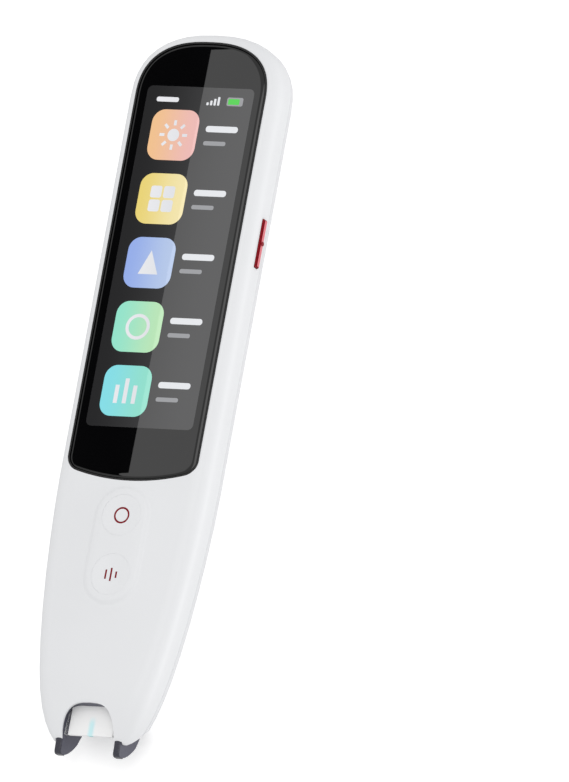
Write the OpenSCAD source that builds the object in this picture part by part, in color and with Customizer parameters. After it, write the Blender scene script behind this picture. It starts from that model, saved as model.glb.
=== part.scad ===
// Handheld scan-and-translate pen.
// X runs from the feet at the tip to the top end, Y across, Z from the back up to the screen.
// The origin lies on the flat back, halfway along the pen. Stations are distances from the feet.

/* [Body] */
// Overall length, from the feet to the top end
body_len = 150; // [144:1:170]
// Overall width
body_w = 33.8; // [33.4:0.2:40]
// Thickness from the back face to the front face
body_t = 13.2; // [13:0.1:16]
// Edge radius at the front face
front_r = 3.2; // [2:0.1:4]
// Edge radius at the back face
back_r = 7.5; // [6.5:0.1:8]
// Station at which the narrowing towards the tip begins
tip_reach = 56; // [50:1:62]
// How late the tip narrows
tip_taper = 1.55; // [1.5:0.05:1.8]
// Squareness of the tip's outline
tip_square = 3.9; // [3.7:0.1:4.4]
// Station of the outline's nose
nose_x = 0.8; // [0.4:0.1:1.2]
// How much rounder the edges are at the nose than at the sides
nose_round = 1.5; // [1:0.05:1.7]
// Station at which the front face starts to fall towards the nose
slope_x = 14.5; // [12:0.5:16]
// How far the front face has fallen at the nose
slope_drop = 4.4; // [3.6:0.1:4.8]
// Lowest station of the casing's rim at the tip
rim_x = 2.6; // [2.2:0.1:2.8]
// Length of the domed top end
dome_len = 14; // [12:0.5:16]
// Squareness of the dome's outline
dome_square = 2.5; // [2.1:0.05:2.8]

/* [Casing] */
// Side and back wall
wall = 1.4; // [1.1:0.1:1.6]
// Front wall, which carries the glass and the keys
front_wall = 2.4; // [2.2:0.1:2.8]
// Height of the parting plane between the shells
parting_z = 6.5; // [6.3:0.1:6.7]
// Size of the groove along the parting line
groove = 0.25; // [0.15:0.05:0.35]
// Height of the lip that locates the front shell in the back shell
lip_h = 1; // [0.6:0.1:1.2]
// Thickness of that lip
lip_t = 0.7; // [0.5:0.1:0.8]
// Gap between pieces that fit together
fit_gap = 0.1; // [0.05:0.01:0.15]
// Gap round pieces that slide
slide_gap = 0.12; // [0.1:0.01:0.2]

/* [Display] */
// Length of the cover glass
glass_len = 91.4; // [86:0.2:93]
// Thickness of the cover glass
glass_t = 1.1; // [0.8:0.1:1.2]
// Border of the casing round the glass
glass_border = 2.6; // [2.4:0.1:3.2]
// Distance from the glass to the top end
glass_top_gap = 2.4; // [2.2:0.1:3.2]
// Radius of the glass's bottom edge
glass_bow_r = 46; // [40:1:60]
// Radius of the glass's bottom corners
glass_corner_r = 3; // [2:0.1:4]
// Bevel of the glass's edge
glass_bevel = 0.3; // [0.2:0.05:0.4]
// Thickness of the glue between glass and casing
glue_t = 0.1; // [0.08:0.01:0.15]
// Length of the screen panel
lcd_len = 77; // [70:1:78]
// Width of the screen panel
lcd_w = 25.6; // [24:0.2:26]
// Thickness of the screen panel
lcd_t = 1.5; // [1.3:0.1:1.6]
// Distance from the glass's top edge to the panel
lcd_margin = 7.6; // [7:0.1:9]
// Sheet of the tray behind the panel
tray_t = 0.25; // [0.2:0.05:0.3]

/* [Keys] */
// Station of the home key
home_x = 48.6; // [48:0.1:49.5]
// Station of the voice key
voice_x = 36.3; // [35.5:0.1:37]
// Radius of the round keys
key_r = 4.15; // [3.8:0.05:4.4]
// Width of the raised island round the keys
island_w = 12.9; // [11.6:0.1:13]
// Height of the island
island_h = 0.5; // [0.3:0.05:0.7]
// Run of the island's sloped edge
island_slope = 1.2; // [0.8:0.1:1.4]
// Travel of the round keys
key_travel = 0.4; // [0.3:0.05:0.45]
// Depth of the dish in a round key
dish_depth = 0.2; // [0.15:0.05:0.4]
// Outer radius of the ring mark
ring_r = 1.7; // [1.4:0.1:2]
// Stroke of the marks
stroke = 0.35; // [0.3:0.05:0.55]
// Station of the power key
power_x = 107.5; // [104:0.5:112]
// Length of the power key
power_len = 10; // [8:0.2:11]
// Height of the sill between the parting line and the power key
power_sill = 1.5; // [1.2:0.1:1.6]
// Height of the power key
power_h = 1.3; // [1.1:0.1:2.3]
// How far the power key stands out
power_out = 0.5; // [0.45:0.05:0.8]
// Travel of the power key
power_travel = 0.3; // [0.2:0.05:0.35]

/* [Foot] */
// Half width over the legs of the foot
foot_half = 7.3; // [7.1:0.1:7.4]
// Thickness of the arch and its legs
foot_t = 1.5; // [1.3:0.1:1.6]
// Thickness of the arch's crown
crown_t = 1.3; // [1.2:0.05:1.6]
// Station of the arch's crown, outside
foot_top = 11.4; // [11:0.1:11.6]
// Squareness of the front shell's arch
arch_square = 2.9; // [2.4:0.05:3.2]
// Squareness of the foot's arch
foot_square = 3; // [2.8:0.1:3.4]
// Squareness of the window and of its seat in front of the arch
window_square = 6; // [5:0.5:7]
// Distance from the front face to the foot's crown
foot_front = 1.1; // [1:0.1:1.3]
// Distance from the front face to the legs' toes
toe_front = 3.3; // [3:0.1:3.6]
// Recess of the foot below the back face
foot_back = 0.3; // [0.2:0.05:0.5]
// Travel of the foot when it is pressed
foot_travel = 0.5; // [0.3:0.05:0.6]
// Half width of the front shell's arch
arch_half = 5.8; // [5.6:0.05:5.9]
// Station of the front arch's crown
arch_top = 10.1; // [9.4:0.05:10.2]
// Station of the window's lower edge
window_low = 4; // [3.6:0.1:4.4]
// Distance from the front face to the window
window_depth = 3.4; // [3:0.1:3.8]
// Thickness of the window
window_t = 0.8; // [0.8:0.1:1.2]
// Length of the aiming mark
aim_len = 3.8; // [3:0.1:4.4]
// Width of the aiming mark
aim_w = 0.84; // [0.6:0.02:1]

/* [Inside] */
// Height of the main board's underside
board_z = 7.2; // [7.1:0.05:7.3]
// Thickness of the main board
board_t = 1; // [0.8:0.1:1]
// Station of the main board's lower end
board_low = 21.6; // [21.2:0.1:22]
// Gap between the board and the outline of the casing
board_inset = 3; // [2.9:0.1:3.4]
// Length of the battery
battery_len = 58; // [50:1:58]
// Width of the battery
battery_w = 21; // [18:0.5:21]
// Thickness of the battery
battery_t = 4.3; // [3.8:0.1:4.6]
// Radius of the screws
screw_r = 0.7; // [0.6:0.05:0.8]
// Radius of the screw posts
post_r = 1.8; // [1.6:0.1:1.9]
// Radius of the speaker
speaker_r = 6.5; // [6.2:0.1:6.8]
// Height of the speaker
speaker_h = 3.2; // [2.8:0.1:3.6]
// Radius of a hole in the speaker grille
grille_hole_r = 0.4; // [0.3:0.05:0.5]
// Pitch between the rings of grille holes
grille_pitch = 1.95; // [1.7:0.05:2.1]
// Width of the USB-C port
usb_w = 8.94; // [8.8:0.02:9.1]
// Height of the USB-C port
usb_h = 3.2; // [3:0.1:3.4]

/* [Hidden] */

white = [0.9, 0.905, 0.91];
slate = [0.27, 0.27, 0.33];
glass_black = [0.03, 0.03, 0.035];
mark_red = [0.75, 0.12, 0.2];
key_red = [0.86, 0.1, 0.14];
teal = [0.4, 0.75, 0.78];
steel = [0.72, 0.73, 0.75];
board_green = [0.06, 0.3, 0.2];
chip_black = [0.08, 0.08, 0.09];
foil_grey = [0.6, 0.62, 0.65];
amber = [0.8, 0.5, 0.15];
brass = [0.78, 0.65, 0.35];

eps = 0.01;
far = 30;
half_l = body_len / 2;
half_w = body_w / 2;
dome_x = body_len - dome_len;
tip_steps = 18;
dome_steps = 10;
arc_steps = 6;
front_steps = 5;
back_steps = 7;

// Places in the casing
ceiling_z = body_t - front_wall;
island_z = body_t + island_h;
board_top = board_z + board_t;

// Outline of the body, as nested rings: inset is the distance in from the widest outline.
function nose_at(inset) = nose_x + nose_round * inset;
function tip_point(i, inset) = let (a = 90 * pow(i / tip_steps, 2))
  [tip_reach - (tip_reach - nose_at(inset)) * pow(abs(cos(a)), 2 / tip_taper),
   (half_w - inset) * pow(sin(a), 2 / tip_square)];
function dome_point(i, inset) = let (a = 90 * i / dome_steps)
  [dome_x + (dome_len - inset) * pow(sin(a), 2 / dome_square),
   (half_w - inset) * pow(abs(cos(a)), 2 / dome_square)];
function half_ring(inset) = concat([for (i = [0 : tip_steps]) tip_point(i, inset)],
  [for (i = [0 : dome_steps]) dome_point(i, inset)]);
function with_mirror(points) = concat(points,
  [for (i = [len(points) - 2 : -1 : 1]) [points[i][0], -points[i][1]]]);
function ring(inset) = with_mirror(half_ring(inset));
function half_at(x, inset) = (half_w - inset)
  * pow(1 - pow(max(0, tip_reach - x) / (tip_reach - nose_at(inset)), tip_taper), 1 / tip_square);

// Points of an arc and of a smooth bend between two points
function arc(x, y, r, a0, a1, n = arc_steps) = [for (i = [0 : n])
  let (a = a0 + (a1 - a0) * i / n) [x + r * cos(a), y + r * sin(a)]];
function bend(a, b, c, n = arc_steps) = [for (i = [0 : n]) let (t = i / n)
  a * pow(1 - t, 2) + b * 2 * t * (1 - t) + c * pow(t, 2)];
function mirrored(points) = [for (i = [len(points) - 1 : -1 : 0]) [points[i][0], -points[i][1]]];
function stadium(w, h) = concat(arc(w / 2 - h / 2, 0, h / 2, -90, 90),
  arc(h / 2 - w / 2, 0, h / 2, 90, 270));

// How far the front face lies below the full thickness at a station
function fall(x) = slope_drop * pow(max(0, slope_x - x) / slope_x, 2);
// Share of that fall that reaches a height: all of it at the front, none below the parting plane
function fall_share(z) = pow(max(0, z - parting_z - 1) / (body_t - parting_z - 1), 2);

// Insets of the casing's outer and inner surfaces at a height
function round_in(r, h) = h >= r ? 0 : r - sqrt(pow(r, 2) - pow(r - h, 2));
function outer_inset(z) = max(round_in(back_r, z), round_in(front_r, body_t - z));
function inner_inset(z) = wall + round_in(back_r - wall, z - wall);
lip_out = inner_inset(parting_z - lip_h) + fit_gap;
lip_in = lip_out + lip_t;

// Places pieces by their station
module at(x, y = 0, z = 0) { translate([x - half_l, y, z]) children(); }
// A box between two corners, with X as a station
module block(low, high) { at(low[0], low[1], low[2]) cube(high - low); }
// A shape drawn as seen from the side, right across the body
module seen_from_side() { at(0, far, 0) rotate([90, 0, 0]) linear_extrude(2 * far) children(); }
// The same box on both sides of the centreline
module pair(low, high) { for (side = [0, 1]) mirror([0, side, 0]) block(low, high); }
// A flat piece with the outline of a ring
module plate(inset, z0, z1) {
  at(0, 0, z0) linear_extrude(z1 - z0) polygon(ring(inset));
}
// A solid swept round the body's outline, from rings of [inset, height, station]: the part of a
// ring that lies below its station is pressed almost flat against it
function squeeze(x, low) = x < low ? low - (low - x) / 10 : x;
module pebble(profile) {
  n = len(ring(0));
  last = (len(profile) - 1) * n;
  polyhedron(
    points = [for (p = profile) for (q = ring(p[0])) let (x = squeeze(q[0], p[2]))
      [x - half_l, q[1], p[1] - fall(x) * fall_share(p[1])]],
    faces = concat(cap(n, 0, false), cap(n, last, true),
      [for (k = [0 : len(profile) - 2], i = [0 : n - 1]) let (a = k * n, j = (i + 1) % n)
        each [[a + i, a + j, a + n + j], [a + i, a + n + j, a + n + i]]]),
    convexity = 8);
}
// The end of such a solid, as flat strips across the body
function strip(a, b, c, d, up) = up ? [a, b, c, d] : [d, c, b, a];
function cap(n, first, up) = concat(
  [up ? [first, first + 1, first + n - 1] : [first + n - 1, first + 1, first]],
  [for (i = [1 : n / 2 - 2]) strip(first + i, first + i + 1, first + n - i - 1, first + n - i, up)],
  [let (e = first + n / 2) up ? [e - 1, e, e + 1] : [e + 1, e, e - 1]]);

// Casing
// The casing is solid below this station, and has no lip up to the next one
cavity_x = 7;
lip_x = 18;
lip_top = parting_z + 2 * lip_t + 0.2;
front_profile = let (in_r = max(front_r - wall, 1), low = parting_z + groove) concat(
  [for (i = [0 : 3]) [wall + in_r * (1 - sin(30 * i)), ceiling_z - in_r * (1 - cos(30 * i)), cavity_x]],
  [[wall, lip_top, cavity_x],
   [lip_in, parting_z + lip_t, cavity_x + fit_gap + lip_t],
   [lip_in, parting_z - lip_h, cavity_x + fit_gap + lip_t],
   [lip_out, parting_z - lip_h, cavity_x + fit_gap],
   [lip_out, parting_z, cavity_x + fit_gap],
   [outer_inset(parting_z) + groove, parting_z, 0],
   [outer_inset(low), low, 0],
   [0, (low + body_t - front_r) / 2 + 0.5, 0]],
  [for (i = [0 : front_steps]) let (a = 90 * i / front_steps)
    [front_r * (1 - cos(a)), body_t - front_r * (1 - sin(a)), 0]]);
rear_profile = let (high = parting_z - groove) concat(
  [for (i = [0 : back_steps]) let (z = high * (1 - cos(90 * i / back_steps))) [outer_inset(z), z, 0]],
  [[outer_inset(parting_z) + groove, parting_z, 0]],
  [for (i = [back_steps : -1 : 0]) let (z = wall + (parting_z - wall) * (1 - cos(90 * i / back_steps)))
    [inner_inset(z), z, cavity_x]]);
// Rim at the tip, seen from the side: lowest beside the toes, drawn back towards both faces
rim_side = [[-far, far], [rim_x + 1.3, far], [rim_x + 1.3, body_t - 2.2], [rim_x + 0.6, body_t - 2.8],
  [rim_x, body_t - 3.7], [rim_x + 0.1, body_t - 4.4], [rim_x + 0.8, body_t - 5.3],
  [rim_x + 3.4, body_t - 7.15], [rim_x + 4.4, body_t - 9.2], [rim_x + 4.8, body_t - 11.2],
  [rim_x + 4.9, -far], [-far, -far]];

// Glass
glass_high = body_len - glass_top_gap;
glass_low = glass_high - glass_len;
glass_z = body_t - glass_t;
glue_z = glass_z - glue_t;
lcd_high = glass_high - lcd_margin;
lcd_low = lcd_high - lcd_len;
lcd_z = glass_z - lcd_t;
tray_z = lcd_z - tray_t;
opening_half = lcd_w / 2 + tray_t + 2 * fit_gap;
// Outline of the glass, drawn in by a given amount: a bowed lower edge, round corners, casing sides
function glass_outline(inset) = let (
    border = glass_border + inset,
    r = glass_corner_r - inset,
    bow = glass_bow_r - inset,
    y = half_at(glass_low + glass_corner_r, border) - r,
    x = glass_low + inset + bow - sqrt(pow(bow - r, 2) - pow(y, 2)),
    a = 180 - asin(y / (bow - r)),
    side = [for (p = half_ring(border)) if (p[0] > x + r) p],
    half = concat([for (i = [0 : arc_steps - 1]) let (b = 180 - (180 - a) * i / arc_steps)
        [glass_low + inset + bow * (1 + cos(b)), bow * sin(b)]],
      arc(x, y, r, a, 90), side))
  with_mirror(half);
module glass_plate(inset, z0, z1) {
  at(0, 0, z0) linear_extrude(z1 - z0) polygon(glass_outline(inset));
}
module lcd_opening(z0, z1) {
  gap = tray_t + 2 * fit_gap;
  block([lcd_low - gap, -opening_half, z0], [lcd_high + gap, opening_half, z1]);
}

// Foot: an arch seen from the front, cut to its shape seen from the side
foot_z = body_t - foot_front;
toe_z = body_t - toe_front;
foot_inner = foot_half - foot_t;
foot_roof = foot_top - crown_t;
arch_base = 3;
arch_steps = 10;
leg_lean = 0.15;
function arch_side(half, top, square) = [for (i = [0 : arch_steps]) let (a = 90 * i / arch_steps)
  [arch_base + (top - arch_base) * pow(sin(a), 2 / (square - 0.3)),
   half * pow(abs(cos(a)), 2 / square)]];
function arch(half, top, square, low_x = -far, lean = 0) = let (
    side = concat([[low_x, half + lean]], arch_side(half, top, square)))
  concat(side, mirrored([for (i = [0 : len(side) - 2]) side[i]]));
function foot_outline(inner_square) = let (
    inner = arch(foot_inner, foot_roof, inner_square, -eps, leg_lean))
  concat(arch(foot_half, foot_top, foot_square, -eps, -leg_lean),
    [for (i = [len(inner) - 1 : -1 : 0]) inner[i]]);
// Its front falls with the casing's and ends in a round toe; its back is cut away to the heel
toe_r = 0.9;
toe_end = 3;
heel_x = 3.6;
heel_z = 3.6;
heel_top = 8.4;
function foot_front_side(gap) = bend([foot_top - 1, foot_z + gap], [foot_top - 3.7, foot_z - 0.2 + gap],
  [toe_end, toe_z + 0.1 + gap]);
function foot_side() = concat(
  [[foot_top + 2, foot_z]],
  foot_front_side(0),
  bend([toe_r, toe_z], [0, toe_z], [0, toe_z - toe_r]),
  bend([0.01, toe_z - toe_r - 0.05], [0.35, heel_z + 2.7], [heel_x, heel_z]),
  [[heel_x + 3, heel_z - 1.5], [heel_top, foot_back], [foot_top + 2, foot_back]]);
function slot_side() = concat([[-far, -far], [far, -far], [far, foot_z + slide_gap]],
  foot_front_side(slide_gap), [[-far, toe_z + 0.1 + slide_gap]]);
// Space in the shells for the foot and its travel
module foot_slot() intersection() {
  at(0, 0, -far / 2) linear_extrude(far)
    polygon(arch(foot_half + slide_gap, foot_top + foot_travel + slide_gap, foot_square));
  seen_from_side() polygon(slot_side());
}
module rim_cut() seen_from_side() polygon(rim_side);
// Lugs that hold the foot in the casing, and the ribs they rest on
lug_low = 7.9;
lug_high = 9.9;
lug_root = foot_inner - 0.6;
lug_half = foot_half + 1.3;
lug_z0 = 5;
lug_z1 = 8;
rib_t = 1.2;

// Lens axis, camera and light board
lens_z = 4.6;
lens_r = 1.7;
lens_hole_r = lens_r + 0.5;
led_y = 3.7;
led_hole_r = 0.9;
led_t = 0.6;
light_t = 0.7;
light_x = foot_top + foot_travel + led_t + 0.4;
camera_x = light_x + light_t;
camera_len = 5.5;
camera_half = 4.2;
camera_h = 5.4;
bracket_t = 0.8;
spring_x = 13.6;
spring_z = (lug_z0 + lug_z1) / 2;
spring_y = foot_half + 0.8;
spring_r = 0.6;
wire_r = 0.13;
ear_t = 1.2;

// Round keys: a rim of the wall, a flange under it and a stem over the switch
flange_r = key_r + 0.75;
flange_t = 0.6;
switch_h = 0.7;
switch_r = 2.25;
stem_r = 1.4;
key_gap = 0.15;
mark_h = 0.2;
mark_z = island_z - dish_depth - mark_h / 2;
bar_pitch = 1.15;
bar_heights = [1.3, 2.7, 1.9];

// Power key, above a sill of the wall: a head in the wall, a flange behind it and a plunger
power_z = parting_z + power_sill;
power_flange = 1;
power_flange_t = 0.8;
power_flange_y = -half_w + wall + fit_gap;
power_head_z = power_z + power_h;
power_flange_z = power_head_z + 0.7;
power_chamfer = 0.2;
plunger_z = board_top + 0.3;
plunger_w = 3;
power_switch_y = -half_w + 5.2;
power_pip_r = 0.45;
power_pip_h = 0.2;

// Port in the middle of the top end, level with the board
usb_x = body_len - 0.6;
usb_len = 6.9;
usb_z = board_top - usb_h / 2 + 0.6;
usb_wall = 0.3;
board_high = usb_x - usb_len - fit_gap;

// Speaker, posts and battery, one after the other from the top end
speaker_back = 19.8;
speaker_x = body_len - speaker_back;
rear_post_gap = 9.2;
rear_post_x = speaker_x - rear_post_gap;
battery_gap = 3;
battery_x = rear_post_x - battery_gap - battery_len;
middle_post_gap = 5;
front_post_x = 26;
post_x = [front_post_x, battery_x - middle_post_gap, rear_post_x];
post_y = 8.5;
pad_t = 0.2;
mesh_t = 0.15;
gasket_t = 0.3;

module usb_section(gap, x0, x1) {
  at(x0, 0, usb_z) rotate([90, 0, 90]) linear_extrude(x1 - x0)
    polygon(stadium(usb_w + 2 * gap, usb_h + 2 * gap));
}

// Island round the keys: its edge rises in a soft S from the front face
island_steps = 5;
function island_edge() = concat([[island_w / 2, -eps]], [for (i = [0 : island_steps])
  let (t = i / island_steps) [island_w / 2 - island_slope * t, island_h * t * t * (3 - 2 * t)]]);
module island() {
  edge = island_edge();
  for (x = [voice_x, home_x])
    at(x, 0, body_t) rotate_extrude($fn = 72) polygon(concat([[0, -eps]], edge, [[0, island_h]]));
  at(voice_x, 0, body_t) rotate([90, 0, 90]) linear_extrude(home_x - voice_x)
    polygon(concat(edge, [for (i = [len(edge) - 1 : -1 : 0]) [-edge[i][0], edge[i][1]]]));
}

module front_shell() color(white) difference() {
  union() {
    pebble(front_profile);
    island();
  }
  // the rim at the tip, and no lip where the foot's lugs move
  rim_cut();
  intersection() {
    plate(wall + fit_gap, parting_z - lip_h - 1, lip_top);
    block([cavity_x, -far, -far], [lip_x, far, far]);
  }
  foot_slot();
  at(0, 0, parting_z - 1) linear_extrude(far) polygon(arch(arch_half, arch_top, arch_square));
  // glass and screen
  glass_plate(-fit_gap, glue_z, far);
  lcd_opening(ceiling_z - 1, body_t);
  // keys
  for (x = [home_x, voice_x])
    at(x, 0, ceiling_z - 1) cylinder(h = far, r = key_r + key_gap, $fn = 72);
  // the power key's slot above its sill, and room for its flange
  block([power_x - power_len / 2 - slide_gap, -half_w - 1, power_z - slide_gap],
    [power_x + power_len / 2 + slide_gap, -half_w + lip_in + 1, power_head_z + slide_gap]);
  block([power_x - power_len / 2 - power_flange - slide_gap, -half_w + wall, -1],
    [power_x + power_len / 2 + power_flange + slide_gap, -half_w + lip_in + 1, power_flange_z + slide_gap]);
  // port and microphone hole
  usb_section(fit_gap, usb_x - usb_len - 2, body_len + 1);
  at(body_len - 6, 8, board_top + 0.5) rotate([0, 90, 0]) cylinder(h = 8, r = 0.4, $fn = 24);
}

module rear_shell() color(white) difference() {
  union() {
    pebble(rear_profile);
    for (x = post_x, y = [-post_y, post_y])
      at(x, y, wall / 2) cylinder(h = board_z - wall / 2, r = post_r, $fn = 32);
    // ribs that the foot's lugs rest on
    pair([lug_low - fit_gap - rib_t, foot_half + 0.2, 4.6],
      [lug_low - fit_gap, foot_half + 1.8, parting_z - 0.2]);
    // seat of the port
    block([usb_x - usb_len + 0.3, -usb_w / 2 + 1.5, wall / 2],
      [body_len - 4, usb_w / 2 - 1.5, usb_z - usb_h / 2]);
  }
  rim_cut();
  foot_slot();
  for (x = post_x, y = [-post_y, post_y])
    at(x, y, 2.6) cylinder(h = far, r = screw_r + 0.05, $fn = 24);
  at(speaker_x, 0, -1) grille_holes();
  usb_section(fit_gap, usb_x - usb_len - 2, body_len + 1);
}

module grille_holes() {
  cylinder(h = wall + 2, r = grille_hole_r, $fn = 24);
  for (a = [0 : 60 : 359])
    rotate(a) translate([grille_pitch, 0, 0]) cylinder(h = wall + 2, r = grille_hole_r, $fn = 24);
  for (a = [0 : 30 : 359])
    rotate(a) translate([2 * grille_pitch, 0, 0]) cylinder(h = wall + 2, r = grille_hole_r, $fn = 24);
}

// Display
module display_glass() color(glass_black) {
  glass_plate(0, glass_z, body_t - glass_bevel);
  glass_plate(glass_bevel, body_t - glass_bevel, body_t);
}
module glass_adhesive() color("dimgray") difference() {
  glass_plate(0.3, glue_z, glass_z);
  lcd_opening(glue_z - 1, body_t);
}
module lcd_panel() color("darkslategray")
  block([lcd_low, -lcd_w / 2, lcd_z], [lcd_high, lcd_w / 2, glass_z]);
module lcd_tray() color(steel) difference() {
  block([lcd_low - tray_t - fit_gap, -lcd_w / 2 - tray_t - fit_gap, tray_z],
    [lcd_high + tray_t + fit_gap, lcd_w / 2 + tray_t + fit_gap, glass_z - 0.4]);
  block([lcd_low - fit_gap, -lcd_w / 2 - fit_gap, lcd_z], [lcd_high + fit_gap, lcd_w / 2 + fit_gap, far]);
}
flex_t = 0.15;
flex_x = lcd_low - 3;
module lcd_flex() color(amber) {
  block([flex_x, -5, tray_z - flex_t], [lcd_low + 4, 5, tray_z]);
  block([flex_x, -5, board_top], [flex_x + flex_t, 5, tray_z - flex_t]);
}

// Electronics
module main_board() color(board_green) difference() {
  intersection() {
    plate(board_inset, board_z, board_top);
    block([board_low, -far, 0], [board_high, far, far]);
  }
  for (x = post_x, y = [-post_y, post_y])
    at(x, y, board_z - 1) cylinder(h = board_t + 2, r = screw_r + 0.05, $fn = 24);
}
module board_screws() color(steel) for (x = post_x, y = [-post_y, post_y]) {
  at(x, y, 3) cylinder(h = board_top - 3, r = screw_r, $fn = 24);
  at(x, y, board_top) cylinder(h = 0.6, r = 1.3, $fn = 24);
}
// Chips, one after the other from the rear post to the display's flex
memory_gap = 3;
memory_size = 9;
memory_x = rear_post_x - memory_gap - memory_size;
radio_gap = 4;
radio_len = 11;
radio_w = 14;
radio_x = memory_x - radio_gap - radio_len;
can_radio_gap = 2;
can_flex_gap = 6;
can_low = flex_x + can_flex_gap;
can_high = radio_x - can_radio_gap;
can_half = 10;
can_h = 1.4;
can_t = 0.2;
processor_gap = 6;
processor_size = 12;
antenna_gap = 1;
antenna_len = 3;
antenna_w = 7.5;
antenna_edge_gap = 4.4;
module shield_can() color(steel) difference() {
  block([can_low, -can_half, board_top], [can_high, can_half, board_top + can_h]);
  block([can_low + can_t, -can_half + can_t, board_top - 1],
    [can_high - can_t, can_half - can_t, board_top + can_h - can_t]);
}
module processor() color(chip_black)
  block([can_low + processor_gap, -processor_size / 2, board_top],
    [can_low + processor_gap + processor_size, processor_size / 2, board_top + can_h - can_t - 0.1]);
module memory_chip() color(chip_black)
  block([memory_x, 0, board_top], [memory_x + memory_size, memory_size, board_top + 1]);
module radio_module() color(foil_grey)
  block([radio_x, -radio_w / 2, board_top], [radio_x + radio_len, radio_w / 2, board_top + can_h]);
module antenna() color("ivory")
  block([speaker_x - antenna_gap - antenna_len, half_w - antenna_edge_gap - antenna_w, board_top],
    [speaker_x - antenna_gap, half_w - antenna_edge_gap, board_top + 1]);
battery_z = wall + pad_t;
module battery() color(foil_grey)
  block([battery_x, -battery_w / 2, battery_z],
    [battery_x + battery_len, battery_w / 2, battery_z + battery_t]);
module battery_pad() color("dimgray")
  block([battery_x + 4, -battery_w / 2 + 3, wall], [battery_x + battery_len - 4, battery_w / 2 - 3, battery_z]);
tab_x = battery_x + battery_len;
module battery_tab() color(amber) {
  block([tab_x, -3, battery_z + battery_t - 1], [tab_x + 1, 3, battery_z + battery_t - 1 + flex_t]);
  block([tab_x + 1, -3, battery_z + battery_t - 1], [tab_x + 1 + flex_t, 3, board_z]);
}
speaker_z = wall + mesh_t + gasket_t;
module speaker() color(chip_black) at(speaker_x, 0, speaker_z) {
  cylinder(h = speaker_h * 0.6, r = speaker_r, $fn = 48);
  translate([0, 0, speaker_h * 0.6]) cylinder(h = speaker_h * 0.4, r = speaker_r * 0.7, $fn = 48);
}
module speaker_gasket() color("dimgray") at(speaker_x, 0, wall + mesh_t) difference() {
  cylinder(h = gasket_t, r = 2 * grille_pitch + 1.6, $fn = 48);
  translate([0, 0, -1]) cylinder(h = gasket_t + 2, r = 2 * grille_pitch + 0.6, $fn = 48);
}
module speaker_mesh() color(chip_black)
  at(speaker_x, 0, wall) cylinder(h = mesh_t, r = 2 * grille_pitch + 1.3, $fn = 48);
module microphones() color(brass) for (y = [-10.5, 8])
  block([board_high - 5.5, y - 1.3, board_top], [board_high - 2, y + 1.3, board_top + 1]);
module usb_port() color(steel) difference() {
  usb_section(0, usb_x - usb_len, usb_x);
  usb_section(-usb_wall, usb_x - usb_len + 0.8, usb_x + 1);
}
module usb_tongue() color(chip_black)
  block([usb_x - usb_len + 0.8, -3.35, usb_z - 0.35], [usb_x - 0.8, 3.35, usb_z + 0.35]);

// Switches
module key_switches() color(steel) for (x = [home_x, voice_x])
  at(x, 0, board_top) cylinder(h = switch_h, r = switch_r, $fn = 32);
module power_switch() color(chip_black)
  block([power_x - 2, power_switch_y, board_top], [power_x + 2, power_switch_y + 2.4, board_top + 1.6]);
module tip_switch() color(chip_black) {
  block([board_low, 5, board_top], [board_low + 3, 7.6, board_top + 1.6]);
  block([board_low - 0.5, 5.7, board_top + 0.4], [board_low, 6.9, board_top + 1.2]);
}

// Scanner
module scan_camera() color(chip_black)
  block([camera_x, -camera_half, lens_z - camera_h / 2],
    [camera_x + camera_len, camera_half, lens_z + camera_h / 2]);
module camera_lens() color([0.15, 0.18, 0.25])
  at(foot_roof + 0.3, 0, lens_z) rotate([0, 90, 0])
    cylinder(h = camera_x - foot_roof - 0.3, r = lens_r, $fn = 40);
module light_board() color(board_green) difference() {
  block([light_x, -camera_half - 0.6, lens_z - 2.6], [camera_x, camera_half + 0.6, lens_z + 2.6]);
  at(light_x - 1, 0, lens_z) rotate([0, 90, 0]) cylinder(h = light_t + 2, r = lens_r + 0.1, $fn = 40);
}
module scan_leds() color("lightyellow") for (y = [-led_y, led_y])
  block([light_x - led_t, y - 0.6, lens_z - 0.6], [light_x, y + 0.6, lens_z + 0.6]);
module camera_bracket() color(chip_black) {
  low = lens_z - camera_h / 2;
  high = spring_z + 1.1;
  outside = camera_half + bracket_t;
  block([camera_x + 0.6, -camera_half + bracket_t, wall], [camera_x + camera_len, camera_half - bracket_t, low]);
  block([camera_x + 0.1, -outside, wall + 0.25], [camera_x + camera_len, outside, low]);
  pair([camera_x + 0.1, camera_half, low], [camera_x + camera_len, outside, high]);
  pair([spring_x, outside, spring_z - 1.3], [spring_x + ear_t, spring_y + 1, high]);
}
module camera_flex() color(amber)
  block([camera_x + camera_len, -2.5, board_z - flex_t], [board_low + 4.5, 2.5, board_z]);

// Keys
module round_key(x) at(x) difference() {
  union() {
    translate([0, 0, ceiling_z - fit_gap - flange_t]) cylinder(h = flange_t, r = flange_r, $fn = 72);
    translate([0, 0, ceiling_z - fit_gap - eps])
      cylinder(h = island_z - ceiling_z + fit_gap + eps, r = key_r, $fn = 72);
    stem_low = board_top + switch_h + key_travel + fit_gap;
    translate([0, 0, stem_low])
      cylinder(h = ceiling_z - fit_gap - stem_low - eps, r = stem_r, $fn = 32);
  }
  dish_r = key_r - 0.35;
  ball_r = (pow(dish_r, 2) + pow(dish_depth, 2)) / (2 * dish_depth);
  translate([0, 0, island_z - dish_depth + ball_r]) sphere(r = ball_r, $fn = 96);
}
module ring_mark(gap, h) difference() {
  cylinder(h = h, r = ring_r + gap, $fn = 48);
  translate([0, 0, -1]) cylinder(h = h + 2, r = ring_r - stroke - gap, $fn = 48);
}
module bar_marks(gap, h) for (i = [0 : 2])
  translate([-bar_heights[i] / 2 - gap, (i - 1) * bar_pitch - stroke / 2 - gap, 0])
    cube([bar_heights[i] + 2 * gap, stroke + 2 * gap, h]);
mark_gap = 0.02;
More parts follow.
